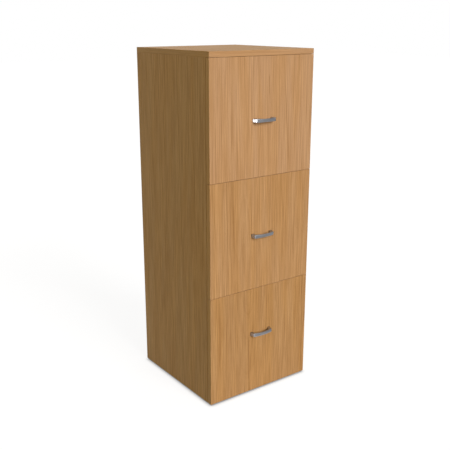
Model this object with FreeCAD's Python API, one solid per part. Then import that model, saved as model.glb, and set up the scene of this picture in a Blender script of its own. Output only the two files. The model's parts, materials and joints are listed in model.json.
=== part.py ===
"""Three-drawer file cabinet in laminated board, with full extension ball bearing slides.

Millimetres. +X is to the right of someone who faces the cabinet, the drawers open
along -Y, and +Z is up. The origin is on the floor, in the middle of the outer box,
which counts the handles.
"""
import FreeCAD, Part
import math
import os

# Carcass
cabinet_width = 430.0
cabinet_depth = 442.0  # rear edge to the face of the drawer fronts
body_height = 1200.0  # underside of the sides to the face of the top
panel_thickness = 18.0
back_thickness = 4.0
back_inset = 8.0  # rear edge of the sides to the rear face of the back
housing_depth = 6.0  # how far the back, the rails and the bottom enter the sides
board_fit = 0.1  # play of a board in its groove or rebate
cross_rail_depth = 70.0
glide_diameter = 30.0
glide_height = 5.0
glide_inset = 28.0  # outer faces to the middle of a glide
glide_chamfer = 1.5

# Dowels between the top and the sides
dowel_diameter = 8.0
dowel_length = 30.0
dowel_in_top = 10.0
dowel_fit = 0.05  # on the radius
dowel_end_play = 1.0
dowel_edge_distance = 60.0

# Drawer fronts
drawer_names = ["bottom", "middle", "top"]
front_thickness = 18.0
front_seam = 1.2  # between two fronts
top_seam = 0.8  # between the upper front and the top
closing_gap = 2.0  # closed front to the edge of the sides

# Drawer boxes
box_thickness = 16.0
box_height = 270.0
box_raise = 32.0  # underside of the front to the underside of the box
box_rebate = 8.0
box_bottom_thickness = 4.0
box_bottom_raise = 12.0
box_groove = 6.0

# Slides: three nested channels with a ball cage in each of the two gaps
slide_height = 45.0
slide_thickness = 12.7
slide_sheet = 1.2
slide_setback = 2.0  # front edge of the sides to the slides
slide_rear_clearance = 8.0
slide_centre_raise = 90.0  # underside of the box to the middle of the slide
slide_flange = 9.5  # depth of the cabinet member
slide_lip = 3.0
slide_bend = 1.8  # outer radius of a bend
slide_slots = 3  # screw slots in each member, in line while the slide is closed
slide_slot_length = 12.0
slide_slot_height = 5.0
slide_slot_margin = 44.0  # end of the slide to the middle of its first slot
ball_diameter = 3.0
web_gap = 1.2  # cabinet member's web to the intermediate member's web
inner_web_gap = 1.6  # intermediate member's web to the drawer member's flanges
tip_gap = 1.7  # intermediate member's flanges to the drawer box
cage_sheet = 0.6
cage_margin = 10.0
cage_tip_gap = 0.4

# File rails, clipped over the sides of a drawer box
file_rail_wall = 2.0
file_rail_leg = 12.0
file_rail_rib = 8.0
file_rail_fit = 0.1

# Bow handles
handle_spacing = 76.0  # between the screws
handle_length = 90.0
handle_projection = 24.0
handle_shoulder = 17.5  # projection of the outer corners
handle_inner_shoulder = 13.0
handle_splay = 5.0  # how far the corners lean in
handle_foot = 12.0
handle_strap = 5.5
handle_leg_taper = 2.5
handle_end_height = 14.0
handle_middle_height = 11.0
handle_outer_radius = 5.0
handle_inner_radius = 3.5
handle_hole_depth = 10.0
handle_drop = {"top": 203.0, "middle": 200.0, "bottom": 170.0}  # below the front's upper edge

# Handle screws
screw_diameter = 4.0
screw_thread_fit = 0.05  # on the radius, in the handle
screw_hole_fit = 0.25  # on the radius, in the boards
screw_engagement = 8.0
screw_head_diameter = 8.0
screw_head_height = 2.8

# Places worked out from the sizes above
rear_y = (cabinet_depth + handle_projection) / 2
face_y = rear_y - cabinet_depth
front_rear_y = face_y + front_thickness
side_y = front_rear_y + closing_gap
base_z = glide_height
top_z = base_z + body_height
under_top_z = top_z - panel_thickness
inner_width = cabinet_width - 2 * panel_thickness
back_y = rear_y - back_inset - back_thickness
pitch = (under_top_z - top_seam + front_seam - base_z) / len(drawer_names)
front_height = pitch - front_seam

slide_length = back_y - slide_rear_clearance - side_y - slide_setback
slide_y = side_y + slide_setback
box_width = inner_width - 2 * slide_thickness
box_inner_width = box_width - 2 * box_thickness
box_length = slide_y + slide_length - front_rear_y

outer_half = slide_height / 2
intermediate_half = outer_half - slide_sheet - ball_diameter
drawer_half = intermediate_half - slide_sheet - ball_diameter


def vec(x, y, z):
    return FreeCAD.Vector(x, y, z)


def block(x, y, z):
    """A box between two limits on each axis."""
    size = [limits[1] - limits[0] for limits in (x, y, z)]
    return Part.makeBox(*size, vec(x[0], y[0], z[0]))


def mirrored(shape):
    """The same piece on the other side of the cabinet."""
    return shape.mirror(vec(0, 0, 0), vec(1, 0, 0))


def on_side(shape, side):
    """A piece drawn for the left side, or its mirror image for the right."""
    return shape if side == "left" else mirrored(shape)


def rounded_wire(corners):
    """A closed wire through (point, radius) corners, with a tangent arc at each radius over zero."""
    edges = []
    ends = []
    count = len(corners)
    for i, (corner, radius) in enumerate(corners):
        before = (corners[i - 1][0] - corner).normalize()
        after = (corners[(i + 1) % count][0] - corner).normalize()
        if radius == 0:
            ends.append((corner, corner))
            continue
        half_angle = before.getAngle(after) / 2
        reach = radius / math.tan(half_angle)
        bisector = (before + after).normalize()
        middle = corner + bisector * (radius / math.sin(half_angle) - radius)
        start = corner + before * reach
        finish = corner + after * reach
        edges.append(Part.Arc(start, middle, finish).toShape())
        ends.append((start, finish))
    for i in range(count):
        start = ends[i][1]
        finish = ends[(i + 1) % count][0]
        edges.append(Part.LineSegment(start, finish).toShape())
    return Part.Wire(Part.__sortEdges__(edges))


def slide_bar(profile, start, length, centre_z):
    """A bar along Y on the left side. The profile has (distance from the side, height, radius)."""
    side_face = -inner_width / 2
    corners = [(vec(side_face + u, start, centre_z + v), r) for u, v, r in profile]
    return Part.Face(rounded_wire(corners)).extrude(vec(0, length, 0))


def channel(web, tip, half, sheet, bend):
    """Profile of a channel: web and tip are its distances from the cabinet side."""
    turn = 1 if tip > web else -1
    inner = web + turn * sheet
    return [
        (web, -half, bend),
        (web, half, bend),
        (tip, half, 0),
        (tip, half - sheet, 0),
        (inner, half - sheet, 0),
        (inner, -half + sheet, 0),
        (tip, -half + sheet, 0),
        (tip, -half, 0),
    ]


def lipped_channel():
    """Profile of the cabinet member, whose lips turn in and hold the balls."""
    lip_tip = outer_half - slide_lip
    flange = outer_half - slide_sheet
    lip_inner = slide_flange - slide_sheet
    upper = [
        (0, outer_half, slide_bend),
        (slide_flange, outer_half, slide_bend),
        (slide_flange, lip_tip, 0),
        (lip_inner, lip_tip, 0),
        (lip_inner, flange, 0),
        (slide_sheet, flange, 0),
    ]
    lower = [(u, -v, r) for u, v, r in reversed(upper)]
    return upper + lower


def screw_slots(centre_z):
    """The slots through the webs of a left slide's members, evenly spaced along it."""
    side_face = -inner_width / 2
    spacing = (slide_length - 2 * slide_slot_margin) / (slide_slots - 1)
    slots = []
    for i in range(slide_slots):
        middle = slide_y + slide_slot_margin + i * spacing
        slots.append(block(
            (side_face, side_face + slide_thickness),
            (middle - slide_slot_length / 2, middle + slide_slot_length / 2),
            (centre_z - slide_slot_height / 2, centre_z + slide_slot_height / 2)))
    return Part.makeCompound(slots)


def slide_members(centre_z):
    """The three members and the two cages of a left slide, closed."""
    intermediate_web = slide_sheet + web_gap
    intermediate_tip = slide_thickness - tip_gap
    drawer_web = slide_thickness
    drawer_tip = intermediate_web + slide_sheet + inner_web_gap
    cabinet = slide_bar(lipped_channel(), slide_y, slide_length, centre_z)
    intermediate = slide_bar(
        channel(intermediate_web, intermediate_tip, intermediate_half, slide_sheet, slide_bend),
        slide_y, slide_length, centre_z)
    drawer = slide_bar(
        channel(drawer_web, drawer_tip, drawer_half, slide_sheet, slide_bend),
        slide_y, slide_length, centre_z)
    cage_length = slide_length / 2 - 2 * cage_margin
    cage_y = slide_y + slide_length / 4 + cage_margin
    outer_cage_web = slide_sheet + (web_gap - cage_sheet) / 2
    outer_cage_tip = slide_flange - slide_sheet - cage_tip_gap
    outer_cage_half = intermediate_half + (ball_diameter + cage_sheet) / 2
    inner_cage_web = intermediate_web + slide_sheet + (inner_web_gap - cage_sheet) / 2
    inner_cage_tip = slide_thickness - slide_sheet - cage_tip_gap
    inner_cage_half = drawer_half + (ball_diameter + cage_sheet) / 2
    outer_cage = slide_bar(
        channel(outer_cage_web, outer_cage_tip, outer_cage_half, cage_sheet, 0),
        cage_y, cage_length, centre_z)
    inner_cage = slide_bar(
        channel(inner_cage_web, inner_cage_tip, inner_cage_half, cage_sheet, 0),
        cage_y, cage_length, centre_z)
    slots = screw_slots(centre_z)
    return {
        "cabinet_member": cabinet.cut(slots),
        "intermediate_member": intermediate.cut(slots),
        "drawer_member": drawer.cut(slots),
        "outer_cage": outer_cage,
        "inner_cage": inner_cage,
    }


def dowel_places():
    """The dowels' axes, on the middle of each side panel's thickness."""
    x = cabinet_width / 2 - panel_thickness / 2
    first = side_y + dowel_edge_distance
    last = rear_y - dowel_edge_distance
    return [(sign * x, y) for sign in (-1, 1) for y in (first, last)]


def dowels(radius_play, end_play):
    """The dowels, or with play their holes."""
    radius = dowel_diameter / 2 + radius_play
    bottom = under_top_z + dowel_in_top - dowel_length - end_play
    length = dowel_length + 2 * end_play
    pins = [Part.makeCylinder(radius, length, vec(x, y, bottom)) for x, y in dowel_places()]
    return Part.makeCompound(pins)


def back_space(play):
    """The back panel, or with play the groove that takes it."""
    half = inner_width / 2 + housing_depth - board_fit + play
    return block(
        (-half, half),
        (back_y - play, back_y + back_thickness + play),
        (base_z - play, under_top_z + housing_depth - board_fit + play))


def cross_rail_space(level, play):
    """A cross rail behind the seam over a drawer, or with play its housing."""
    half = inner_width / 2 + housing_depth - board_fit + play
    middle = base_z + level * pitch - front_seam / 2
    half_thickness = panel_thickness / 2 + play
    return block(
        (-half, half),
        (side_y, side_y + cross_rail_depth + play),
        (middle - half_thickness, middle + half_thickness))


def bottom_space(play):
    """The bottom panel, or with play the rebate that takes it."""
    half = inner_width / 2 + housing_depth - board_fit + play
    return block((-half, half), (side_y, back_y), (base_z - play, base_z + panel_thickness + play))


def carcass():
    """Panels, rails, dowels and glides, by node name."""
    half = cabinet_width / 2
    side = block((-half, -inner_width / 2), (side_y, rear_y), (base_z, under_top_z))
    side = side.cut(back_space(board_fit))
    side = side.cut(bottom_space(board_fit))
    for level in (1, 2):
        side = side.cut(cross_rail_space(level, board_fit))
    side = side.cut(dowels(dowel_fit, dowel_end_play))
    top = block((-half, half), (face_y, rear_y), (under_top_z, top_z))
    top = top.cut(back_space(board_fit))
    top = top.cut(dowels(dowel_fit, dowel_end_play))
    return {
        "top_panel": top,
        "left_side_panel": side,
        "right_side_panel": mirrored(side),
        "bottom_panel": bottom_space(0),
        "back_panel": back_space(0),
        "lower_cross_rail": cross_rail_space(1, 0),
        "upper_cross_rail": cross_rail_space(2, 0),
        "top_panel_dowels": dowels(0, 0),
        "floor_glides": floor_glides(),
    }


def floor_glides():
    """Four round glides under the corners, with a chamfer round the floor side."""
    radius = glide_diameter / 2
    x = cabinet_width / 2 - glide_inset
    glides = []
    for centre_x in (-x, x):
        for centre_y in (side_y + glide_inset, rear_y - glide_inset):
            cone = Part.makeCone(radius - glide_chamfer, radius, glide_chamfer, vec(centre_x, centre_y, 0))
            disc = Part.makeCylinder(
                radius, glide_height - glide_chamfer, vec(centre_x, centre_y, glide_chamfer))
            glides.append(cone.fuse(disc))
    return Part.makeCompound(glides)


def handle_plan(outer_x, lean, shoulder, crown):
    """Edges from one foot over the crown to the other foot, seen from above."""
    left_foot = vec(-outer_x, 0, 0)
    left_corner = vec(-outer_x + lean, -shoulder, 0)
    right_corner = vec(outer_x - lean, -shoulder, 0)
    right_foot = vec(outer_x, 0, 0)
    return [
        Part.LineSegment(left_foot, left_corner).toShape(),
        Part.Arc(left_corner, vec(0, -crown, 0), right_corner).toShape(),
        Part.LineSegment(right_corner, right_foot).toShape(),
    ]


def upright_edges(shape, y):
    """The edges along Z at a given y."""
    return [
        edge for edge in shape.Edges
        if edge.BoundBox.ZLength > handle_end_height / 2
        and abs(edge.Vertexes[0].Y - y) < 0.01
    ]


def handle():
    """A bow handle on the plane y = 0, its middle at the origin."""
    outer_x = handle_length / 2
    inner_x = outer_x - handle_foot
    inner_lean = handle_splay - handle_leg_taper
    edges = handle_plan(outer_x, handle_splay, handle_shoulder, handle_projection)
    edges += handle_plan(inner_x, inner_lean, handle_inner_shoulder, handle_projection - handle_strap)
    for sign in (-1, 1):
        edges.append(Part.LineSegment(vec(sign * outer_x, 0, 0), vec(sign * inner_x, 0, 0)).toShape())
    plan = Part.Face(Part.Wire(Part.__sortEdges__(edges)))
    bow = plan.extrude(vec(0, 0, handle_end_height))
    bow.translate(vec(0, 0, -handle_end_height / 2))
    bow = bow.makeFillet(handle_outer_radius, upright_edges(bow, -handle_shoulder))
    bow = bow.makeFillet(handle_inner_radius, upright_edges(bow, -handle_inner_shoulder))
    bow = bow.common(handle_waist())
    radius = screw_diameter / 2 + screw_thread_fit
    for sign in (-1, 1):
        place = vec(sign * handle_spacing / 2, 0, 0)
        bow = bow.cut(Part.makeCylinder(radius, handle_hole_depth, place, vec(0, -1, 0)))
    return bow


def handle_waist():
    """The handle's front outline, drawn in towards the middle, as a thick plate along Y."""
    end_x = handle_length / 2
    end_z = handle_end_height / 2
    middle_z = handle_middle_height / 2
    edges = [
        Part.Arc(vec(-end_x, 0, end_z), vec(0, 0, middle_z), vec(end_x, 0, end_z)).toShape(),
        Part.LineSegment(vec(end_x, 0, end_z), vec(end_x, 0, -end_z)).toShape(),
        Part.Arc(vec(end_x, 0, -end_z), vec(0, 0, -middle_z), vec(-end_x, 0, -end_z)).toShape(),
        Part.LineSegment(vec(-end_x, 0, -end_z), vec(-end_x, 0, end_z)).toShape(),
    ]
    return Part.Face(Part.Wire(edges)).extrude(vec(0, -handle_projection, 0))


def handle_screw_holes(handle_z):
    """Clearance holes for the handle screws through the inner front and the front."""
    radius = screw_diameter / 2 + screw_hole_fit
    length = front_thickness + box_thickness
    bores = [
        Part.makeCylinder(radius, length, vec(sign * handle_spacing / 2, face_y, handle_z), vec(0, 1, 0))
        for sign in (-1, 1)
    ]
    return bores[0].fuse(bores[1])


def handle_screws(handle_z):
    """Two machine screws, with their heads inside the drawer box."""
    head_y = front_rear_y + box_thickness
    reach = front_thickness + box_thickness + screw_engagement
    screws = []
    for sign in (-1, 1):
        place = vec(sign * handle_spacing / 2, head_y, handle_z)
        shank = Part.makeCylinder(screw_diameter / 2, reach, place, vec(0, -1, 0))
        head = Part.makeCylinder(screw_head_diameter / 2, screw_head_height, place, vec(0, 1, 0))
        screws.append(shank.fuse(head))
    return Part.makeCompound(screws)


def box_bottom_space(bottom_z, play):
    """The bottom of a drawer box, or with play the grooves that take it."""
    half = box_inner_width / 2 + box_groove - board_fit + play
    front = front_rear_y + box_thickness - box_groove + board_fit - play
    low = bottom_z + box_bottom_raise
    return block(
        (-half, half),
        (front, front_rear_y + box_length),
        (low - play, low + box_bottom_thickness + play))


def drawer_box(bottom_z):
    """Sides, inner front, back and bottom of a drawer box."""
    top = bottom_z + box_height
    rear = front_rear_y + box_length
    half = box_width / 2
    end_half = half - box_thickness + box_rebate
    groove = box_bottom_space(bottom_z, board_fit)
    front_end = front_rear_y + box_thickness
    rear_end = rear - box_thickness
    side = block((-half, -box_inner_width / 2), (front_rear_y, rear), (bottom_z, top))
    for limits in ((front_rear_y, front_end + board_fit), (rear_end - board_fit, rear)):
        side = side.cut(block((-end_half - board_fit, 0), limits, (bottom_z, top)))
    side = side.cut(groove)
    inner_front = block((-end_half, end_half), (front_rear_y, front_end), (bottom_z, top))
    inner_front = inner_front.cut(groove)
    above_bottom = bottom_z + box_bottom_raise + box_bottom_thickness + board_fit
    return {
        "box_left_side": side,
        "box_right_side": mirrored(side),
        "box_front": inner_front,
        "box_back": block((-end_half, end_half), (rear_end, rear), (above_bottom, top)),
        "box_bottom": box_bottom_space(bottom_z, 0),
    }


def file_rails(box_top):
    """Two clip-on rails for hanging folders, one over each side of the box."""
    outer = -box_width / 2
    inner = -box_inner_width / 2
    leg_outer = outer - file_rail_fit
    leg_inner = inner + file_rail_fit
    profile = [
        (leg_outer - file_rail_wall, box_top - file_rail_leg),
        (leg_outer - file_rail_wall, box_top + file_rail_wall),
        (leg_inner, box_top + file_rail_wall),
        (leg_inner, box_top + file_rail_rib),
        (leg_inner + file_rail_wall, box_top + file_rail_rib),
        (leg_inner + file_rail_wall, box_top - file_rail_leg),
        (leg_inner, box_top - file_rail_leg),
        (leg_inner, box_top),
        (leg_outer, box_top),
        (leg_outer, box_top - file_rail_leg),
    ]
    start = front_rear_y + box_thickness + file_rail_fit
    length = box_length - 2 * box_thickness - 2 * file_rail_fit
    points = [vec(x, start, z) for x, z in profile]
    bar = Part.Face(Part.makePolygon(points + points[:1])).extrude(vec(0, length, 0))
    return Part.makeCompound([bar, mirrored(bar)])


def drawer(name, level):
    """Every piece that belongs to one drawer and its two slides, by node name."""
    low = base_z + level * pitch
    high = low + front_height
    handle_z = high - handle_drop[name]
    box_z = low + box_raise
    slide_z = box_z + slide_centre_raise
    holes = handle_screw_holes(handle_z)
    front = block((-cabinet_width / 2, cabinet_width / 2), (face_y, front_rear_y), (low, high))
    box = drawer_box(box_z)
    box["box_front"] = box["box_front"].cut(holes)
    bow = handle()
    bow.translate(vec(0, face_y, handle_z))
    pieces = {
        f"{name}_drawer_front": front.cut(holes),
        f"{name}_handle": bow,
        f"{name}_handle_screws": handle_screws(handle_z),
        f"{name}_file_rails": file_rails(box_z + box_height),
    }
    for piece, shape in box.items():
        pieces[f"{name}_{piece}"] = shape
    members = slide_members(slide_z)
    for member in ("cabinet_member", "intermediate_member", "drawer_member"):
        for side in ("left", "right"):
            pieces[f"{name}_{side}_{member}"] = on_side(members[member], side)
    for cage in ("outer_cage", "inner_cage"):
        pair = [on_side(members[cage], side) for side in ("left", "right")]
        pieces[f"{name}_{cage}s"] = Part.makeCompound(pair)
    return pieces


def main():
    os.makedirs("parts", exist_ok=True)
    pieces = carcass()
    for level, name in enumerate(drawer_names):
        pieces.update(drawer(name, level))
    for name, shape in pieces.items():
        shape.exportStep(f"parts/{name}.step")
    print(len(pieces), "nodes")
    print("slide length", round(slide_length, 3), "box length", round(box_length, 3))


main()
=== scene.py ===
"""Looks of the three-drawer file cabinet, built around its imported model.

Metres. +X is to the right of someone who faces the cabinet, the drawers open along -Y
and +Z is up. Sizes of small details are written in millimetres and multiplied by MM.
"""
import json
import math

import bmesh
import bpy
from mathutils import Matrix, Vector

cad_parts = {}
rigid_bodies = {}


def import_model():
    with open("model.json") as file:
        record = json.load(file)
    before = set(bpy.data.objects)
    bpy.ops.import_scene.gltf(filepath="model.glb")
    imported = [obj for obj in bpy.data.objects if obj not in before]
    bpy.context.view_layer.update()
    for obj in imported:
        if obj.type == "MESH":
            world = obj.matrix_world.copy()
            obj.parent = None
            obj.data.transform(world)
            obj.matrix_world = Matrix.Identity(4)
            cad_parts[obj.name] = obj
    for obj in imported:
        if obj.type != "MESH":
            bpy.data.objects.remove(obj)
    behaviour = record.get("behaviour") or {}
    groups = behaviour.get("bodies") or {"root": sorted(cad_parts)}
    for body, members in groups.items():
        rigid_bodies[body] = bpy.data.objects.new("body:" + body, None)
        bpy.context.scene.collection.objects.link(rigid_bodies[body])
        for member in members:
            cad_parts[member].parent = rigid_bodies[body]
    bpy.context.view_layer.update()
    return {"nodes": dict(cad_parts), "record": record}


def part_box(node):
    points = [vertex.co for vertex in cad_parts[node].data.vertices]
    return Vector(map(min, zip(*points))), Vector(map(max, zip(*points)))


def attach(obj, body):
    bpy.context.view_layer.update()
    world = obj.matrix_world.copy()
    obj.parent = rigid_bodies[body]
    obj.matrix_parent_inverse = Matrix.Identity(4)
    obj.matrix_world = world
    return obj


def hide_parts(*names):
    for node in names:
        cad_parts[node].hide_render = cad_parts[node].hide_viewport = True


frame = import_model()

MM = 0.001
X = Vector((1, 0, 0))
Y = Vector((0, 1, 0))
AXES = "xyz"
LEVELS = ("bottom", "middle", "top")
SIDES = ("left", "right")

# The photograph's camera
picture_width = 450
focal_length_px = 697.4
camera_place = Vector((-1.4485, -1.9833, 1.2961))
camera_heading = math.radians(36.1)  # from +Y towards +X
camera_dip = math.radians(16.39)  # below the horizon
sensor_width = 36.0

# Key light, as soft as a large lamp
key_direction = Vector((0.06, -0.72, 0.3))  # from the cabinet to the lamp
key_level = 0.7  # share of a surface's own colour that the key gives where it falls square on
key_spread = math.radians(32)
handle_key_level = 0.1  # the handles get less of it, as the photo shows hardly a glint there

# Fill from all round
fill_level = 0.405
fill_tint = (1.0, 0.975, 0.91, 1.0)

# Strip lamp that glints on the top handle
strip_place = Vector((-1.9, -0.34, 0.74))
strip_target = Vector((0.0, -0.23, 0.98))
strip_size = (0.4, 0.5)
strip_radiance = 90

# Floor
floor_size = 40.0
floor_glow = 0.86
floor_seen_grey = 0.26  # on top of the glow, so that the shadow shows
floor_lighting_grey = 0.3  # what the floor reflects onto the cabinet
# The floor's glow dims under things that lie close over it: painted contact shade.
contact_reach = 0.015  # how high over the floor a thing may be that keeps it dark
contact_samples = 8

# The dimmer part of the room, which only metal mirrors
dark_side = Vector((0.62, -0.78, -0.05)).normalized()
dark_side_level = 0.35
dark_side_spread = (0.15, 0.75)  # cosines to the dark side where the room starts and ends to dim
dark_floor_reach = (0.1, 0.7)  # distances out towards the dark side, likewise

# Meshes of the model
merge_distance = 0.002 * MM
flat_angle = math.radians(0.5)  # between triangles of one flat face
sharp_angle = math.radians(50)  # between faces whose edge gets rounded
square_on = 0.9  # cosine from which a face counts as facing along an axis

# Roundings of edges
board_arris = 0.6 * MM
box_arris = 0.5 * MM
sheet_arris = 0.3 * MM
dowel_arris = 0.6 * MM
glide_arris = 0.4 * MM
rail_arris = 0.4 * MM
slide_arris = 0.15 * MM
cage_arris = 0.1 * MM
fitting_arris = 0.25 * MM  # levers and washers
bumper_arris = 0.6 * MM

# Handles, as drawn for the model
handle_foot = 12 * MM
handle_strap = 5.5 * MM
handle_splay = 5 * MM
handle_leg_taper = 2.5 * MM
handle_shoulder = 17.5 * MM
handle_inner_shoulder = 13 * MM
handle_outer_radius = 5 * MM
handle_inner_radius = 3.5 * MM
handle_middle_height = 11 * MM
handle_rounding = 2.2 * MM
handle_inner_rounding = 1.2 * MM
handle_steps = {"leg_steps": 6, "turn_steps": 12, "bow_steps": 24}

# Slides, as drawn for the model
slot_count = 3
slot_length = 12 * MM
slot_height = 5 * MM
slot_margin = 44 * MM
slide_sheet = 1.2 * MM
ball_diameter = 3 * MM
ball_count = 14  # in a row
outer_ball_inset = 4.8 * MM  # from the cabinet's side to the balls between the outer two members
inner_ball_inset = 8.2 * MM
ball_row_inset = 0.3 * MM  # from a cage's upper and lower edge
lever_start = 84 * MM  # behind the member's front end
lever_length = 62 * MM
lever_thickness = 1.4 * MM
lever_end_height = 2.4 * MM
lever_pad_height = 5 * MM
lever_pad_start = 0.8  # share of the lever's length
lever_arch = 3 * MM
lever_steps = 20
hole_diameter = 4.6 * MM
hole_offset = 17 * MM  # from the middle of a slot to the round hole beside it

# Small fittings: diameter and height over the surface
flush_head = (8 * MM, 0.22 * MM)
pan_head = (7 * MM, 2.0 * MM)
handle_head = (8 * MM, 2.8 * MM)
washer = (14 * MM, 1.0 * MM)
bumper = (9 * MM, 1.9 * MM)

# Heads of screws, in shares of their own size
head_foot = 0.97  # of the radius, what the head stands on
head_side = 0.4  # of the rim, where the head reaches its full radius
head_rim = 0.45  # of the height, where the dome starts
dome_fullness = 0.6  # under 1 for a flatter dome
dome_steps = 6
turn_segments = 28
recess_reach = 0.27  # of the diameter, from the middle to the end of the cross
recess_width = 0.09  # of the diameter
recess_floor = 0.35  # of the height

# Where the fittings sit
handle_screw_diameter = 4 * MM
handle_screw_spacing = 76 * MM
front_screw_reach = 128 * MM  # from the middle of a front to its screws
front_screw_rises = (48 * MM, 214 * MM)  # over the underside of the inner front
box_screw_inset = 8 * MM  # from the ends of a box side
box_screw_rises = (40 * MM, 150 * MM, 235 * MM)
back_screw_places = (-150 * MM, -50 * MM, 50 * MM, 150 * MM)
back_screw_rise = 9 * MM
bumper_inset = (9 * MM, 18 * MM)  # from the sides and from the ends of a front

# Noise of streaks
noise_stagger = 0.37  # share of its length by which a streak is out of step with the next one
noise_seed_step = 1.618  # keeps seeds off the whole numbers, where the noise has little contrast

# Printed oak, in millimetres on the board
drift_size = (90, 700)  # width and length of the grain's wanderings
drift_reach = 14
ring_pitch = 7.5
ring_crowding = 22  # distance over which the rings lie closer or wider
ring_shift = 16
ring_memory = 1.7  # rings over which the strength of the late wood carries on
drawn_line_edge = (0.8, 2.2)  # from the middle of a drawn line, where it starts and ends to fade
drawn_line_full_share = 0.6  # of a drawn line's length, outside which it fades

# Printed oak, shares of a growth ring
late_power = 2.5  # how steeply the late wood darkens
late_end = (0.9, 1.0)
pored_wood = (0.75, 0.05)  # where there are no pores, and where they are thickest

# Printed oak, levels of the noise where a mark starts and is at its full
vein_levels = (0.58, 0.68)
pore_levels = (0.60, 0.70)
late_levels = (0.35, 0.65)
warmth_levels = (0.35, 0.65)

# Layers of the oak print: width and length of a streak, step of the seed, detail of the noise
OAK_LAYERS = {
    "broad": (34, 900, 7, 1),
    "streak": (1.5, 260, 11, 1),
    "fibre": (1.1, 80, 13, 2),
    "pore": (0.45, 9, 17, 1),
    "vein": (1.8, 300, 19, 1),
    "hue": (45, 400, 23, 1),
}
OAK_DARKENING = {"broad": 0.25, "streak": 1.7, "fibre": 1.6, "pore": 0.5, "vein": 0.5, "late": 0.2}
oak_shade = 0.38  # between the light and the dark colour, where no layer adds anything

BODY_OF = {
    node: body
    for body, nodes in frame["record"]["behaviour"]["bodies"].items()
    for node in nodes
}


def rgb(red, green, blue):
    """A colour on the 0 to 255 screen scale, as the linear values that shaders take."""
    def linear(value):
        share = value / 255
        return share / 12.92 if share <= 0.04045 else ((share + 0.055) / 1.055) ** 2.4
    return (linear(red), linear(green), linear(blue), 1.0)


def scaled(color, factor):
    """A lighter or darker colour of the same hue."""
    return tuple(min(1.0, factor * part) for part in color[:3]) + (1.0,)


def grey(level):
    """A neutral linear colour."""
    return (level, level, level, 1.0)


class Tree:
    """A node tree under construction. An input is a number, a colour or another node's output."""

    def __init__(self, tree):
        self.tree = tree

    def put(self, socket, value):
        if isinstance(value, bpy.types.NodeSocket):
            self.tree.links.new(value, socket)
        else:
            socket.default_value = value

    def node(self, kind, inputs, output=0, **settings):
        made = self.tree.nodes.new(kind)
        for key, value in settings.items():
            setattr(made, key, value)
        for key, value in inputs.items():
            self.put(made.inputs[key], value)
        return made.outputs[output]

    def math(self, operation, first, second=0.0, clamp=False):
        return self.node("ShaderNodeMath", {0: first, 1: second}, operation=operation, use_clamp=clamp)

    def band(self, value, low=0.3, high=0.7, to_low=0.0, to_high=1.0):
        """Maps low..high smoothly to to_low..to_high."""
        return self.node("ShaderNodeMapRange", {
            "Value": value, "From Min": low, "From Max": high, "To Min": to_low, "To Max": to_high,
        }, interpolation_type="SMOOTHSTEP")

    def ray(self, kind):
        """One for the rays of one kind."""
        return self.node("ShaderNodeLightPath", {}, output=kind)

    def replace_surface(self, default, output, surface):
        """Puts a surface where the tree's default one was."""
        self.tree.nodes.remove(self.tree.nodes[default])
        self.put(self.tree.nodes[output].inputs["Surface"], surface)


class Shader(Tree):
    """The material of a piece under construction."""

    def __init__(self, name):
        self.material = bpy.data.materials.new(name)
        self.material.use_nodes = True
        super().__init__(self.material.node_tree)
        self.surface = self.tree.nodes["Principled BSDF"]

    def place(self):
        """The point on the object in millimetres, as x, y and z."""
        coordinates = self.node("ShaderNodeTexCoord", {}, output="Object")
        millimetres = self.node(
            "ShaderNodeVectorMath", {0: coordinates, "Scale": 1 / MM}, operation="SCALE")
        split = self.tree.nodes.new("ShaderNodeSeparateXYZ")
        self.put(split.inputs[0], millimetres)
        return dict(zip(AXES, split.outputs))

    def vector(self, x, y, z=0.0):
        return self.node("ShaderNodeCombineXYZ", {0: x, 1: y, 2: z})

    def noise(self, vector, scale=1.0, detail=2.0, roughness=0.5):
        return self.node("ShaderNodeTexNoise", {
            "Vector": vector, "Scale": scale, "Detail": detail, "Roughness": roughness})

    def stretched_noise(self, across, along, width, length, seed, detail=2.0):
        """Noise with features about width wide and length long, in millimetres, that end out of step."""
        column = self.math("DIVIDE", across, width)
        shift = self.math("MULTIPLY", column, noise_stagger)
        row = self.math("ADD", self.math("DIVIDE", along, length), shift)
        return self.noise(self.vector(column, row, seed * noise_seed_step + 0.5), detail=detail)

    def mix(self, factor, first, second, blend="MIX"):
        """A blend of two colours."""
        sockets = {0: factor, 6: first, 7: second}
        return self.node("ShaderNodeMix", sockets, output=2, data_type="RGBA", blend_type=blend)

    def bump(self, height, depth):
        return self.node("ShaderNodeBump", {"Height": height, "Strength": 1.0, "Distance": depth})

    def finish(self, color, roughness, normal, metallic=0.0, specular=0.5):
        self.put(self.surface.inputs["Base Color"], color)
        self.put(self.surface.inputs["Roughness"], roughness)
        self.put(self.surface.inputs["Normal"], normal)
        self.surface.inputs["Metallic"].default_value = metallic
        self.surface.inputs["Specular IOR Level"].default_value = specular
        return self.material


def drawn_line(shader, u, v, start, end):
    """One for the points on a thin straight line between two points of a board, fading at its ends."""
    (u0, v0), (u1, v1) = start, end
    lean = shader.math("MULTIPLY", shader.math("SUBTRACT", v, v0), (u1 - u0) / (v1 - v0))
    off = shader.math("ABSOLUTE", shader.math("SUBTRACT", shader.math("SUBTRACT", u, u0), lean))
    half = abs(v1 - v0) / 2
    reach = shader.math("ABSOLUTE", shader.math("SUBTRACT", v, (v0 + v1) / 2))
    across = shader.band(off, *drawn_line_edge, 1.0, 0.0)
    along = shader.band(reach, drawn_line_full_share * half, half, 1.0, 0.0)
    return shader.math("MULTIPLY", across, along)


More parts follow.
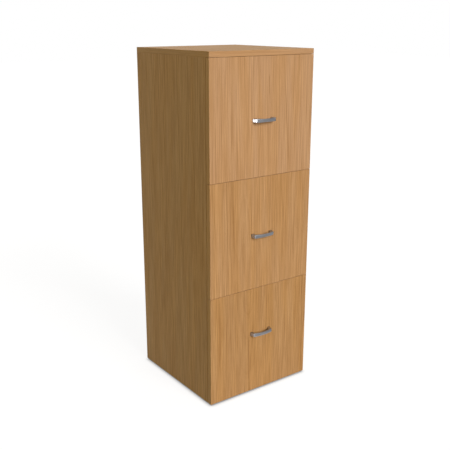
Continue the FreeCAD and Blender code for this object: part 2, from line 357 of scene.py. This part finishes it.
def pith_distance(shader, u, v, figure):
    """How far a point of the board's surface lies from the pith."""
    centre, start, slope = figure
    off = shader.math("SUBTRACT", u, centre)
    depth = shader.math("MULTIPLY", shader.math("SUBTRACT", v, start), slope)
    squares = [shader.math("MULTIPLY", part, part) for part in (off, depth)]
    return shader.math("SQRT", shader.math("ADD", *squares))


def growth_rings(shader, distance, seed):
    """The phase within a growth ring, from 0 to 1, and the dark late wood at the end of some rings."""
    stretch = shader.vector(shader.math("DIVIDE", distance, ring_crowding), seed + 0.5)
    shift = shader.math("MULTIPLY", shader.noise(stretch, detail=1), ring_shift)
    ring = shader.math("DIVIDE", shader.math("ADD", distance, shift), ring_pitch)
    phase = shader.math("FRACT", ring)
    late = shader.math("POWER", phase, late_power)
    late = shader.math("MULTIPLY", late, shader.band(phase, *late_end, 1.0, 0.0))
    number = shader.math("DIVIDE", shader.math("FLOOR", ring), ring_memory)
    presence = shader.noise(shader.vector(number, seed + 3.1))
    return phase, shader.math("MULTIPLY", late, shader.band(presence, *late_levels))


def oak_print(name, along, across, seed, tone, figure=None, contrast=1.0, drawn_lines=()):
    """Printed oak laminate. The grain runs along one axis of the board.

    A figure is (centre, start, slope): where the growth rings' arches have their axis, where along
    the board the pith meets its surface, and how fast the pith dips from there. Drawn lines are pairs
    of end points (across, along), each with its strength.
    """
    light, dark = tone
    shader = Shader(name)
    place = shader.place()
    v = place[along]
    if len(across) == 2:
        u = shader.math("ADD", place[across[0]], place[across[1]])
    else:
        u = place[across]
    layers = [(drawn_line(shader, u, v, start, end), strength) for start, end, strength in drawn_lines]
    drift = shader.stretched_noise(u, v, *drift_size, seed, detail=1)
    u = shader.math("ADD", u, shader.math("MULTIPLY", drift, drift_reach))

    distance = pith_distance(shader, u, v, figure) if figure else u
    phase, late = growth_rings(shader, distance, seed)
    grain = {
        kind: shader.stretched_noise(u, v, width, length, seed + step, detail)
        for kind, (width, length, step, detail) in OAK_LAYERS.items()
    }
    vein = shader.band(grain["vein"], *vein_levels)
    pored = shader.band(phase, *pored_wood)
    pore = shader.math("MULTIPLY", shader.band(grain["pore"], *pore_levels), pored)
    marks = {"late": late, "vein": vein, "pore": pore}
    for kind in ("broad", "streak", "fibre"):
        marks[kind] = shader.math("SUBTRACT", grain[kind], 0.5)
    layers += [(mark, OAK_DARKENING[kind]) for kind, mark in marks.items()]

    total = 0.0
    for layer, weight in layers:
        total = shader.math("ADD", total, shader.math("MULTIPLY", layer, weight))
    shade = shader.math("ADD", shader.math("MULTIPLY", total, contrast), oak_shade, clamp=True)
    hue = shader.band(grain["hue"], *warmth_levels)
    warmth = shader.mix(hue, rgb(255, 245, 230), rgb(255, 249, 246))
    color = shader.mix(1.0, shader.mix(shade, light, dark), warmth, blend="MULTIPLY")
    roughness = shader.math("ADD", shader.math("MULTIPLY", shade, 0.12), 0.42)
    relief = shader.math("SUBTRACT", shader.math("MULTIPLY", grain["fibre"], 0.3), pore)
    return shader.finish(color, roughness, shader.bump(relief, 0.06 * MM), specular=0.15)


def sheet_board(name, color, seed):
    """The bare back of a fibreboard: matted short fibres and faint lighter clouds."""
    shader = Shader(name)
    place = shader.place()
    where = shader.vector(place["x"], shader.math("ADD", place["y"], place["z"]), seed)
    fleck = shader.noise(where, scale=0.8, detail=4, roughness=0.7)
    cloud = shader.noise(where, scale=0.02, detail=2)
    flecked = shader.mix(shader.band(fleck, 0.4, 0.75, 0.0, 0.4), color, rgb(142, 106, 70))
    mixed = shader.mix(shader.band(cloud, to_high=0.3), flecked, rgb(204, 166, 124))
    return shader.finish(mixed, 0.72, shader.bump(fleck, 0.1 * MM), specular=0.25)


def brushed_metal(name, color, along, roughness, seed, grain=0.5):
    """Metal with fine brush lines along one axis."""
    shader = Shader(name)
    place = shader.place()
    others = [place[axis] for axis in AXES if axis != along]
    across = shader.math("ADD", others[0], shader.math("MULTIPLY", others[1], 1.3))
    lines = shader.stretched_noise(across, place[along], width=0.12, length=14, seed=seed)
    cloud = shader.stretched_noise(across, place[along], width=6, length=30, seed=seed + 5)
    mixed = shader.mix(shader.band(cloud), color, scaled(color, 0.8))
    rough = shader.math("ADD", shader.math("MULTIPLY", lines, grain * 0.2), roughness - grain * 0.1)
    return shader.finish(mixed, rough, shader.bump(lines, 0.01 * MM * grain), metallic=1.0)


def zinc_sheet(name, color):
    """Zinc plated steel with a faint cloudy bloom."""
    shader = Shader(name)
    place = shader.place()
    where = shader.vector(place["x"], place["y"], place["z"])
    bloom = shader.noise(where, scale=0.09, detail=3)
    grain = shader.noise(where, scale=2.2, detail=2)
    mixed = shader.mix(shader.band(bloom), color, scaled(color, 0.88))
    rough = shader.math("ADD", shader.math("MULTIPLY", grain, 0.14), 0.26)
    return shader.finish(mixed, rough, shader.bump(grain, 0.01 * MM), metallic=1.0)


def moulded_plastic(name, color, lines_along=None):
    """Plastic with a fine moulded grain, or with the faint draw lines of an extrusion."""
    shader = Shader(name)
    place = shader.place()
    where = shader.vector(place["x"], place["y"], place["z"])
    if lines_along:
        others = [place[axis] for axis in AXES if axis != lines_along]
        across = shader.math("ADD", *others)
        grain = shader.stretched_noise(across, place[lines_along], width=0.5, length=60, seed=0)
    else:
        grain = shader.noise(where, scale=1.6, detail=3)
    cloud = shader.noise(where, scale=0.05)
    mixed = shader.mix(shader.band(cloud), color, scaled(color, 1.2))
    rough = shader.math("ADD", shader.math("MULTIPLY", grain, 0.2), 0.36)
    return shader.finish(mixed, rough, shader.bump(grain, 0.03 * MM))


def dowel_beech(name, seed):
    """Bare beech turned along Z, with the short dark flecks of its rays."""
    shader = Shader(name)
    place = shader.place()
    across = shader.math("ADD", place["x"], place["y"])
    fleck = shader.stretched_noise(across, place["z"], width=0.5, length=3, seed=seed)
    color = shader.mix(shader.band(fleck, 0.55, 0.7), rgb(214, 178, 132), rgb(170, 124, 84))
    return shader.finish(color, 0.6, shader.bump(fleck, 0.03 * MM))


# The fronts are a little darker and yellower towards the bottom.
OAK_TONE = {
    "top": (rgb(213, 171, 127), rgb(170, 128, 86)),
    "middle": (rgb(209, 166, 117), rgb(166, 123, 76)),
    "bottom": (rgb(205, 162, 110), rgb(160, 117, 70)),
}
OAK_FIGURE = {"top": (-300, 600, 0.05), "middle": (-70, 490, 0.13), "bottom": (-46, 590, 0.15)}
OAK_DRAWN_LINES = {
    "top": [((87, 1140), (118, 800), 0.35), ((24, 1130), (24, 1058), 0.5)],
    "middle": [((-121, 716), (-119, 540), 0.5), ((-160, 780), (-157, 410), -0.3)],
    # The strong bottom line is dark and runs straight down from just under the handle's left foot to
    # near the front's lower edge.
    "bottom": [((-51, 226), (-49, 40), 0.9), ((67, 396), (68, 320), 0.45)],
}
OAK_CONTRAST = {"top": 0.88, "middle": 1.0, "bottom": 1.1}
SIDE_CONTRAST = 1.15
TOP_CONTRAST = 0.8
EDGE_CONTRAST = 0.6
BIRCH_CONTRAST = 0.5
BIRCH_EDGE_CONTRAST = 0.4
CARCASS_TONE = (rgb(212, 169, 101), rgb(168, 126, 66))
TOP_TONE = (rgb(195, 147, 64), rgb(155, 110, 38))
BIRCH_TONE = (rgb(226, 202, 166), rgb(196, 164, 122))
SHEET_TONE = rgb(194, 156, 114)


def edge_prints(wood, tones, seed, contrast):
    """Prints for edge bands, one for each axis that a band may run along."""
    across = {"x": "yz", "y": "xz", "z": "xy"}
    return {
        axis: oak_print(f"{wood}_edge_{axis}", axis, across[axis], seed + i, tone, contrast=contrast)
        for i, (axis, tone) in enumerate(zip(AXES, tones))
    }


EDGES = {
    "oak": edge_prints("oak", (OAK_TONE["top"], CARCASS_TONE, CARCASS_TONE), 31, EDGE_CONTRAST),
    "birch": edge_prints("birch", (BIRCH_TONE,) * len(AXES), 41, BIRCH_EDGE_CONTRAST),
}


def carry(piece, node):
    """Puts a piece on the body of a CAD node."""
    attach(piece, BODY_OF[node])
    return piece


def new_piece(name, bm, materials):
    """A mesh object from a bmesh."""
    bmesh.ops.recalc_face_normals(bm, faces=bm.faces)
    mesh = bpy.data.meshes.new(name)
    bm.to_mesh(mesh)
    bm.free()
    for material in materials:
        mesh.materials.append(material)
    piece = bpy.data.objects.new(name, mesh)
    bpy.context.scene.collection.objects.link(piece)
    return piece


def cad_solid(node):
    """A CAD node's mesh with its triangles merged into whole flat faces."""
    bm = bmesh.new()
    bm.from_mesh(frame["nodes"][node].data)
    bmesh.ops.remove_doubles(bm, verts=bm.verts, dist=merge_distance)
    bmesh.ops.dissolve_limit(bm, angle_limit=flat_angle, verts=bm.verts, edges=bm.edges)
    for face in bm.faces:
        face.smooth = False
    return bm


def soften(bm, width, segments):
    """Rounds the sharp outward edges of a solid."""
    sharp = [
        edge for edge in bm.edges
        if len(edge.link_faces) == 2 and edge.is_convex and edge.calc_face_angle() > sharp_angle
    ]
    made = bmesh.ops.bevel(
        bm, geom=sharp, offset=width, segments=segments, profile=0.5, affect="EDGES",
        clamp_overlap=True, material=-1)
    for face in made["faces"]:
        face.smooth = True


def loft(bm, rings, smooth):
    """Walls between closed rings of vertices, one after the other, and a cap at each end."""
    for first, second in zip(rings, rings[1:]):
        for i in range(len(first)):
            j = (i + 1) % len(first)
            bm.faces.new((first[i], first[j], second[j], second[i])).smooth = smooth
    bm.faces.new(rings[0])
    bm.faces.new(rings[-1])


def longest_axis(face):
    """The axis along which a face is longest."""
    spans = [
        max(v.co[i] for v in face.verts) - min(v.co[i] for v in face.verts) for i in range(3)
    ]
    return AXES[spans.index(max(spans))]


def board(node, thickness_axis, faces, edges, arris):
    """A board in place of its CAD node: faces in one print, edge bands along their own length.

    faces is one material, or two for the low and the high side of the board.
    """
    bm = cad_solid(node)
    faces = faces if isinstance(faces, tuple) else (faces, faces)
    materials = list(faces) + [edges[axis] for axis in AXES]
    normal_axis = AXES.index(thickness_axis)
    for face in bm.faces:
        if abs(face.normal[normal_axis]) > square_on:
            face.material_index = 0 if face.normal[normal_axis] < 0 else 1
        else:
            face.material_index = 2 + AXES.index(longest_axis(face))
    soften(bm, arris, 3)
    piece = new_piece(node + "_dressed", bm, materials)
    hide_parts(node)
    return carry(piece, node)


def dressed(node, material, width, segments=2):
    """A CAD node's shape with softened edges, in its place."""
    bm = cad_solid(node)
    soften(bm, width, segments)
    piece = new_piece(node + "_dressed", bm, [material])
    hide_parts(node)
    return carry(piece, node)


def carcass():
    oak = EDGES["oak"]
    for seed, side in enumerate(SIDES, start=1):
        face = oak_print(f"oak_{side}_side", "z", "y", seed, CARCASS_TONE, contrast=SIDE_CONTRAST)
        board(f"{side}_side_panel", "x", face, oak, board_arris)
    top = oak_print("oak_top", "x", "y", 5, TOP_TONE, contrast=TOP_CONTRAST)
    board("top_panel", "z", top, oak, board_arris)
    bottom = oak_print("oak_bottom", "x", "y", 6, CARCASS_TONE)
    board("bottom_panel", "z", bottom, oak, board_arris)
    for rail, seed in (("lower", 7), ("upper", 8)):
        face = oak_print(f"oak_{rail}_rail", "x", "y", seed, CARCASS_TONE)
        board(f"{rail}_cross_rail", "z", face, oak, board_arris)
    inside = oak_print("back_panel_inside", "z", "x", 9, BIRCH_TONE, contrast=BIRCH_CONTRAST)
    outside = sheet_board("back_panel_outside", SHEET_TONE, 10)
    edge = {axis: outside for axis in AXES}
    board("back_panel", "y", (inside, outside), edge, sheet_arris)
    dressed("top_panel_dowels", dowel_beech("dowel_beech", 11), dowel_arris)
    nylon = moulded_plastic("glide_nylon", rgb(74, 52, 38))
    dressed("floor_glides", nylon, glide_arris)


def drawer_boards(level, seed):
    def birch_print(name, along, across, step):
        return oak_print(
            f"birch_{level}_{name}", along, across, seed + step, BIRCH_TONE, contrast=BIRCH_CONTRAST)

    oak_face = oak_print(
        f"oak_{level}_front", "z", "x", seed, OAK_TONE[level],
        OAK_FIGURE[level], OAK_CONTRAST[level], OAK_DRAWN_LINES[level])
    board(f"{level}_drawer_front", "y", oak_face, EDGES["oak"], board_arris)
    birch = EDGES["birch"]
    for side in SIDES:
        face = birch_print(side, "y", "z", 0.1)
        board(f"{level}_box_{side}_side", "x", face, birch, box_arris)
    for end in ("front", "back"):
        face = birch_print(end, "x", "z", 0.2)
        board(f"{level}_box_{end}", "y", face, birch, box_arris)
    above = birch_print("bottom", "y", "x", 0.3)
    below = sheet_board(f"{level}_bottom_underside", SHEET_TONE, seed + 0.4)
    edge = {axis: below for axis in AXES}
    board(f"{level}_box_bottom", "z", (below, above), edge, sheet_arris)


def arc(centre, radius, start, finish, steps):
    """Points on an arc in the plane, both ends included. Angles in radians."""
    points = []
    for i in range(steps + 1):
        angle = start + (finish - start) * i / steps
        spoke = Vector((math.cos(angle), math.sin(angle)))
        points.append(Vector(centre) + radius * spoke)
    return points


def three_point_height(x, half, end, middle):
    """Height at x of an arc that is end high at both ends and middle high between them."""
    rise = end - middle
    radius = (half * half + rise * rise) / (2 * rise)
    return middle + radius - math.sqrt(radius * radius - x * x)


def handle_outline(foot_x, corner_x, shoulder, crown, radius, leg_steps, turn_steps, bow_steps):
    """The left half of an outline in plan, from the foot to the middle; y counts away from the front."""
    corner = Vector((-corner_x, shoulder))
    foot = Vector((-foot_x, 0.0))
    rise = crown - shoulder
    bow_radius = (corner_x * corner_x + rise * rise) / (2 * rise)
    bow_centre = Vector((0.0, crown - bow_radius))
    down = (foot - corner).normalized()
    spoke = (corner - bow_centre).normalized()
    along = Vector((spoke.y, -spoke.x))
    half_turn = down.angle(along) / 2
    reach = radius / math.tan(half_turn)
    start = corner + down * reach
    finish = corner + along * reach
    centre = corner + (down + along).normalized() * (radius / math.sin(half_turn))
    first = math.atan2(start.y - centre.y, start.x - centre.x)
    last = math.atan2(finish.y - centre.y, finish.x - centre.x)
    if last > first:
        last -= 2 * math.pi
    points = [foot.lerp(start, i / leg_steps) for i in range(leg_steps)]
    points += arc(centre, radius, first, last, turn_steps)
    for i in range(1, bow_steps + 1):
        x = finish.x * (1 - i / bow_steps)
        points.append(Vector((x, bow_centre.y + math.sqrt(bow_radius * bow_radius - x * x))))
    return points


def rounded_section(thickness, half_height, steps=4):
    """Section of the strap: depth counts from the inner face, and the outer face is the rounder one."""
    points = []
    outer = min(handle_rounding, thickness * 0.45)
    inner = min(handle_inner_rounding, thickness * 0.3)
    corners = (
        (thickness - outer, half_height - outer, outer, math.pi / 2, 0.0),
        (thickness - outer, -half_height + outer, outer, 0.0, -math.pi / 2),
        (inner, -half_height + inner, inner, -math.pi / 2, -math.pi),
        (inner, half_height - inner, inner, math.pi, math.pi / 2),
    )
    for depth, rise, radius, start, finish in corners:
        points += arc((depth, rise), radius, start, finish, steps)
    return points


def handle_mesh(low, high):
    """A bow handle between the corners of its CAD node, lofted from foot to foot."""
    centre_x = (low.x + high.x) / 2
    centre_z = (low.z + high.z) / 2
    half = (high.x - low.x) / 2
    projection = high.y - low.y
    end_height = high.z - low.z
    outer = handle_outline(
        half, half - handle_splay, handle_shoulder,
        projection, handle_outer_radius, **handle_steps)
    leg_x = half - handle_foot
    inner = handle_outline(
        leg_x, leg_x + handle_leg_taper - handle_splay, handle_inner_shoulder,
        projection - handle_strap, handle_inner_radius, **handle_steps)
    outer += [Vector((-p.x, p.y)) for p in reversed(outer[:-1])]
    inner += [Vector((-p.x, p.y)) for p in reversed(inner[:-1])]
    bm = bmesh.new()
    rings = []
    for out_point, in_point in zip(outer, inner):
        thickness = (out_point - in_point).length
        x = (out_point.x + in_point.x) / 2
        height = three_point_height(min(abs(x), half), half, end_height / 2, handle_middle_height / 2)
        section = rounded_section(thickness, height)
        direction = (out_point - in_point) / thickness
        ring = []
        for depth, rise in section:
            point = in_point + direction * depth
            ring.append(bm.verts.new((centre_x + point.x, high.y - point.y, centre_z + rise)))
        rings.append(ring)
    loft(bm, rings, smooth=True)
    return bm


def handles():
    nickel = brushed_metal("satin_nickel", rgb(184, 186, 192), "x", roughness=0.34, seed=21, grain=0.25)
    for level in LEVELS:
        node = f"{level}_handle"
        piece = new_piece(f"{level}_bow_handle", handle_mesh(*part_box(node)), [nickel])
        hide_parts(node)
        carry(piece, node)


def cut(piece, cutter):
    """Takes the cutter's shape out of the piece, and deletes the cutter."""
    modifier = piece.modifiers.new("cut", "BOOLEAN")
    modifier.operation = "DIFFERENCE"
    modifier.solver = "EXACT"
    modifier.object = cutter
    graph = bpy.context.evaluated_depsgraph_get()
    mesh = bpy.data.meshes.new_from_object(piece.evaluated_get(graph))
    piece.modifiers.clear()
    piece.data = mesh
    bpy.data.objects.remove(cutter)


def facing(direction):
    """The turn that takes +Z to a direction."""
    return Vector(direction).to_track_quat("Z", "Y").to_matrix().to_4x4()


def placed(point, direction):
    """Where a template that faces +Z is to be stamped."""
    return Matrix.Translation(point) @ facing(direction)


def add_cylinder(bm, centre, direction, radius, length, segments=24):
    """A cylinder with its middle at centre."""
    bmesh.ops.create_cone(
        bm, cap_ends=True, segments=segments, radius1=radius, radius2=radius, depth=length,
        matrix=placed(centre, direction))


def domed_head(diameter, height):
    """The head of a screw, turned about Z, from its flat underside at z = 0."""
    radius = diameter / 2
    rim = height * head_rim
    profile = [(radius * head_foot, 0.0), (radius, rim * head_side), (radius, rim)]
    for i in range(1, dome_steps):
        angle = math.pi / 2 * i / dome_steps
        dome_radius = radius * math.cos(angle) ** dome_fullness
        profile.append((dome_radius, rim + (height - rim) * math.sin(angle)))
    bm = bmesh.new()
    steps = [2 * math.pi * i / turn_segments for i in range(turn_segments)]
    spokes = [Vector((math.cos(angle), math.sin(angle))) for angle in steps]
    rings = []
    for ring_radius, z in profile:
        rings.append([bm.verts.new((*(spoke * ring_radius), z)) for spoke in spokes])
    loft(bm, rings, smooth=True)
    return bm


def plus_prism(reach, width, low, high):
    """An upright prism with the outline of a plus sign, to cut a cross recess."""
    half = width / 2
    bm = bmesh.new()
    corners = []
    for quarter in range(4):
        turn = Matrix.Rotation(quarter * math.pi / 2, 2)
        corners += [turn @ Vector(corner) for corner in ((reach, half), (half, half), (half, reach))]
    loft(bm, [[bm.verts.new((*corner, z)) for corner in corners] for z in (low, high)], smooth=False)
    return bm


def screw_head(diameter, height):
    """The mesh of a domed head with a cross recess, which faces +Z."""
    head = new_piece("screw_head", domed_head(diameter, height), [])
    recess = plus_prism(
        diameter * recess_reach, diameter * recess_width, height * recess_floor, height * 2)
    cut(head, new_piece("recess", recess, []))
    mesh = head.data
    bpy.data.objects.remove(head)
    return mesh


def ball():
    """The mesh of one steel ball."""
    bm = bmesh.new()
    bmesh.ops.create_icosphere(bm, subdivisions=2, radius=ball_diameter / 2)
    for face in bm.faces:
        face.smooth = True
    mesh = bpy.data.meshes.new("ball")
    bm.to_mesh(mesh)
    bm.free()
    return mesh


def add_stamps(bm, template, places):
    """Copies of a template mesh, one at each place."""
    for place in places:
        mesh = template.copy()
        mesh.transform(place)
        bm.from_mesh(mesh)
        bpy.data.meshes.remove(mesh)


def stamped(name, template, places, material, node):
    """A piece of copies of a template mesh, carried by a CAD node's body."""
    bm = bmesh.new()
    add_stamps(bm, template, places)
    return carry(new_piece(name, bm, [material]), node)


def spaced(low, high, count):
    """Evenly spaced values from low to high, both included."""
    return [low + (high - low) * i / (count - 1) for i in range(count)]


def outer_x(node, side):
    """The X of a node's face towards the outside of the cabinet."""
    low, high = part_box(node)
    return low.x if side == "left" else high.x


def inner_x(node, side):
    """The X of a node's face towards the middle of the cabinet."""
    low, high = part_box(node)
    return high.x if side == "left" else low.x


def slide_cutter(low, high):
    """Round ends for a slide member's slots, and the round holes beside them."""
    x = (low.x + high.x) / 2
    z = (low.z + high.z) / 2
    through = 2 * (high.x - low.x)
    bm = bmesh.new()
    for y in spaced(low.y + slot_margin, high.y - slot_margin, slot_count):
        for end_y in (y - slot_length / 2, y + slot_length / 2):
            add_cylinder(bm, (x, end_y, z), X, slot_height / 2, through)
        add_cylinder(bm, (x, y + hole_offset, z), X, hole_diameter / 2, through)
    return new_piece("cutter", bm, [])


def slide_screws(node, template, web, direction, material):
    """Screws in the round holes of a slide member; their heads sit on its web."""
    low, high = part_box(node)
    z = (low.z + high.z) / 2
    places = [
        placed((web, y + hole_offset, z), direction)
        for y in spaced(low.y + slot_margin, high.y - slot_margin, slot_count)
    ]
    stamped(f"{node}_screws", template, places, material, node)


def release_lever(node, name, material):
    """The sprung tongue that frees a drawer member, with a pad for the finger at its front end."""
    low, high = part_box(node)
    x = (low.x + high.x) / 2
    z = (low.z + high.z) / 2
    start = low.y + lever_start
    bm = bmesh.new()
    rings = []
    for i in range(lever_steps + 1):
        share = i / lever_steps
        half = lever_end_height / 2 if share < lever_pad_start else lever_pad_height / 2
        centre_z = z + lever_arch * math.sin(math.pi * share) ** 2
        y = start + lever_length * (1 - share)
        corners = ((-1, -1), (1, -1), (1, 1), (-1, 1))
        rings.append([
            bm.verts.new((x + side * lever_thickness / 2, y, centre_z + rise * half))
            for side, rise in corners
        ])
    loft(bm, rings, smooth=False)
    bmesh.ops.recalc_face_normals(bm, faces=bm.faces)
    soften(bm, fitting_arris, 2)
    carry(new_piece(name, bm, [material]), node)


def slide_balls(level, cage, inset, template, material):
    """The balls of a cage pair, in a row along the upper and the lower flange of each cage."""
    node = f"{level}_{cage}s"
    low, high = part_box(node)
    side_x = abs(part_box(f"{level}_left_cabinet_member")[0].x)
    pitch = (high.y - low.y) / ball_count
    rows = [low.y + pitch * (i + 0.5) for i in range(ball_count)]
    places = [
        Matrix.Translation((sign * (side_x - inset), y, z))
        for y in rows
        for sign in (-1, 1)
        for z in (low.z + ball_row_inset, high.z - ball_row_inset)
    ]
    stamped(f"{level}_{cage}_balls", template, places, material, node)


def slides():
    zinc = zinc_sheet("slide_zinc", rgb(188, 192, 198))
    polished = zinc_sheet("ball_steel", rgb(205, 208, 212))
    nylon = moulded_plastic("cage_nylon", rgb(214, 214, 206))
    rail = moulded_plastic("rail_plastic", rgb(52, 53, 56), lines_along="y")
    screw = zinc_sheet("screw_zinc", rgb(176, 178, 182))
    black = moulded_plastic("lever_plastic", rgb(30, 30, 32))
    flush = screw_head(*flush_head)
    pan = screw_head(*pan_head)
    steel_ball = ball()
    for level in LEVELS:
        for side in SIDES:
            for member in ("cabinet", "intermediate", "drawer"):
                node = f"{level}_{side}_{member}_member"
                piece = dressed(node, zinc, slide_arris, segments=1)
                cut(piece, slide_cutter(*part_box(node)))
            inward = X if side == "left" else -X
            cabinet_member = f"{level}_{side}_cabinet_member"
            web = outer_x(cabinet_member, side) + inward.x * slide_sheet
            slide_screws(cabinet_member, flush, web, inward, screw)
            drawer_member = f"{level}_{side}_drawer_member"
            web = inner_x(drawer_member, side) - inward.x * slide_sheet
            slide_screws(drawer_member, pan, web, -inward, screw)
            release_lever(drawer_member, f"{level}_{side}_release_lever", black)
        for cage, inset in (("outer_cage", outer_ball_inset), ("inner_cage", inner_ball_inset)):
            dressed(f"{level}_{cage}s", nylon, cage_arris, segments=1)
            slide_balls(level, cage, inset, steel_ball, polished)
        dressed(f"{level}_file_rails", rail, rail_arris)


def handle_screws(level, template, material):
    """Machine screws through the inner front and the front into the handle."""
    node = f"{level}_handle_screws"
    low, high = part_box(node)
    z = (low.z + high.z) / 2
    head_y = high.y - handle_head[1]
    bm = bmesh.new()
    for x in (-handle_screw_spacing / 2, handle_screw_spacing / 2):
        middle = Vector((x, (low.y + head_y) / 2, z))
        add_cylinder(bm, middle, Y, handle_screw_diameter / 2, head_y - low.y)
        add_stamps(bm, template, [placed((x, head_y, z), Y)])
    piece = new_piece(f"{level}_handle_machine_screws", bm, [material])
    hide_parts(node)
    carry(piece, node)


def front_screws(level, template, material):
    """Screws with washers that hold the front to the inner front."""
    node = f"{level}_box_front"
    low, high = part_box(node)
    points = [
        Vector((x, high.y, low.z + rise))
        for x in (-front_screw_reach, front_screw_reach)
        for rise in front_screw_rises
    ]
    diameter, thickness = washer
    bm = bmesh.new()
    for point in points:
        add_cylinder(bm, point + Y * thickness / 2, Y, diameter / 2, thickness)
    soften(bm, fitting_arris, 2)
    add_stamps(bm, template, [placed(point + Y * thickness, Y) for point in points])
    carry(new_piece(f"{level}_front_screws", bm, [material]), node)


def box_screws(level, side, template, material):
    """Flush screws through a box side into the ends of its front and back."""
    node = f"{level}_box_{side}_side"
    low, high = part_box(node)
    outward = -X if side == "left" else X
    places = [
        placed((outer_x(node, side), y, low.z + rise), outward)
        for y in (low.y + box_screw_inset, high.y - box_screw_inset)
        for rise in box_screw_rises
    ]
    stamped(f"{level}_box_{side}_screws", template, places, material, node)


def bumpers(level, material):
    """Soft pads on the corners of a front's back, which touch the sides of the cabinet."""
    node = f"{level}_drawer_front"
    low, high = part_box(node)
    diameter, thickness = bumper
    side_inset, end_inset = bumper_inset
    bm = bmesh.new()
    for x in (low.x + side_inset, high.x - side_inset):
        for z in (low.z + end_inset, high.z - end_inset):
            add_cylinder(bm, (x, high.y + thickness / 2, z), Y, diameter / 2, thickness)
    soften(bm, bumper_arris, 3)
    carry(new_piece(f"{level}_bumpers", bm, [material]), node)


def fasteners():
    zinc = zinc_sheet("fastener_zinc", rgb(182, 184, 188))
    rubber = moulded_plastic("bumper_rubber", rgb(120, 92, 66))
    broad = screw_head(*handle_head)
    pan = screw_head(*pan_head)
    flush = screw_head(*flush_head)
    for level in LEVELS:
        handle_screws(level, broad, zinc)
        front_screws(level, pan, zinc)
        for side in SIDES:
            box_screws(level, side, flush, zinc)
        bumpers(level, rubber)
    low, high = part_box("back_panel")
    places = [placed((x, high.y, low.z + back_screw_rise), Y) for x in back_screw_places]
    stamped("back_panel_screws", pan, places, zinc, "back_panel")


def camera():
    data = bpy.data.cameras.new("photo_camera")
    data.sensor_width = sensor_width
    data.lens = sensor_width * focal_length_px / picture_width
    data.clip_end = 100
    made = bpy.data.objects.new("photo_camera", data)
    made.location = camera_place
    made.rotation_euler = (math.pi / 2 - camera_dip, 0.0, -camera_heading)
    bpy.context.scene.collection.objects.link(made)
    bpy.context.scene.camera = made


def seen_ray(tree):
    """One for rays from the camera, a mirror or glass, and zero for the rays that light things."""
    straight = tree.math("MAXIMUM", tree.ray("Is Camera Ray"), tree.ray("Is Glossy Ray"))
    return tree.math("MAXIMUM", straight, tree.ray("Is Transmission Ray"))


def faded(tree, place, start, end):
    """One, falling to the dark side's level between two reaches towards it, for glossy rays alone."""
    towards = tree.node(
        "ShaderNodeVectorMath", {0: place, 1: dark_side}, output="Value", operation="DOT_PRODUCT")
    level = tree.band(towards, start, end, 1.0, dark_side_level)
    sockets = {"Factor": tree.ray("Is Glossy Ray"), "A": 1.0, "B": level}
    return tree.node("ShaderNodeMix", sockets, output="Result")


def backdrop():
    """A white studio, of which metal also mirrors the dimmer room to the front right."""
    world = bpy.data.worlds.new("studio")
    world.use_nodes = True
    bpy.context.scene.world = world
    tree = Tree(world.node_tree)
    direction = tree.node("ShaderNodeTexCoord", {}, output="Generated")
    white_level = faded(tree, direction, *dark_side_spread)
    plain = tree.node("ShaderNodeBackground", {"Color": fill_tint, "Strength": fill_level})
    white = tree.node("ShaderNodeBackground", {"Color": grey(1.0), "Strength": white_level})
    mix = tree.node("ShaderNodeMixShader", {0: seen_ray(tree), 1: plain, 2: white})
    tree.replace_surface("Background", "World Output", mix)


def floor():
    """A pale floor that keeps the cabinet's shadow and meets the white backdrop without a line.

    Its glow stops where something lies close over it, which paints a contact shade under the cabinet.
    """
    material = bpy.data.materials.new("pale_floor")
    material.use_nodes = True
    tree = Tree(material.node_tree)
    place = tree.node("ShaderNodeTexCoord", {}, output="Object")
    # Painted contact shade: one where the floor is open, falling to zero where something lies close over
    # it.
    painted_contact_shade_factor = tree.node(
        "ShaderNodeAmbientOcclusion", {"Distance": contact_reach}, output="AO", samples=contact_samples)
    glow_level = tree.math("MULTIPLY", faded(tree, place, *dark_floor_reach), floor_glow)
    glow = tree.node("ShaderNodeEmission", {"Strength": tree.math("MULTIPLY", glow_level, painted_contact_shade_factor)})
    pale = tree.node("ShaderNodeBsdfDiffuse", {"Color": grey(floor_seen_grey)})
    seen = tree.node("ShaderNodeAddShader", {0: pale, 1: glow})
    dull = tree.node("ShaderNodeBsdfDiffuse", {"Color": grey(floor_lighting_grey)})
    mix = tree.node("ShaderNodeMixShader", {0: seen_ray(tree), 1: dull, 2: seen})
    tree.replace_surface("Principled BSDF", "Material Output", mix)
    bm = bmesh.new()
    bmesh.ops.create_grid(bm, x_segments=1, y_segments=1, size=floor_size / 2)
    plane = new_piece("floor", bm, [material])


def add_lamp(data, direction, place, link_state, handles):
    """A lamp that shines from a direction, either on these handles alone or on all but them."""
    group = bpy.data.collections.new(data.name + "_linked")
    for level in handles:
        group.objects.link(bpy.data.objects[f"{level}_bow_handle"])
    for member in group.collection_objects:
        member.light_linking.link_state = link_state
    lamp = bpy.data.objects.new(data.name, data)
    lamp.location = place
    lamp.rotation_mode = "QUATERNION"
    lamp.rotation_quaternion = direction.to_track_quat("Z", "Y")
    lamp.light_linking.receiver_collection = group
    bpy.context.scene.collection.objects.link(lamp)


def sun(name, level, link_state):
    """A soft sun in the key's direction."""
    data = bpy.data.lights.new(name, "SUN")
    data.energy = level * math.pi
    data.angle = key_spread
    add_lamp(data, key_direction, (0.0, 0.0, 0.0), link_state, LEVELS)


def lights():
    """The key, weaker on the handles, and a strip at the left that glints on the top handle alone."""
    sun("key", key_level, "EXCLUDE")
    sun("handle_key", handle_key_level, "INCLUDE")
    strip = bpy.data.lights.new("strip", "AREA")
    strip.shape = "RECTANGLE"
    strip.size, strip.size_y = strip_size
    strip.energy = strip_radiance * math.pi * strip_size[0] * strip_size[1]
    add_lamp(strip, strip_place - strip_target, strip_place, "INCLUDE", ["top"])


carcass()
for seed, level in enumerate(LEVELS, start=14):
    drawer_boards(level, seed)
handles()
slides()
fasteners()
camera()
backdrop()
floor()
lights()

bpy.context.scene.view_settings.view_transform = "Standard"
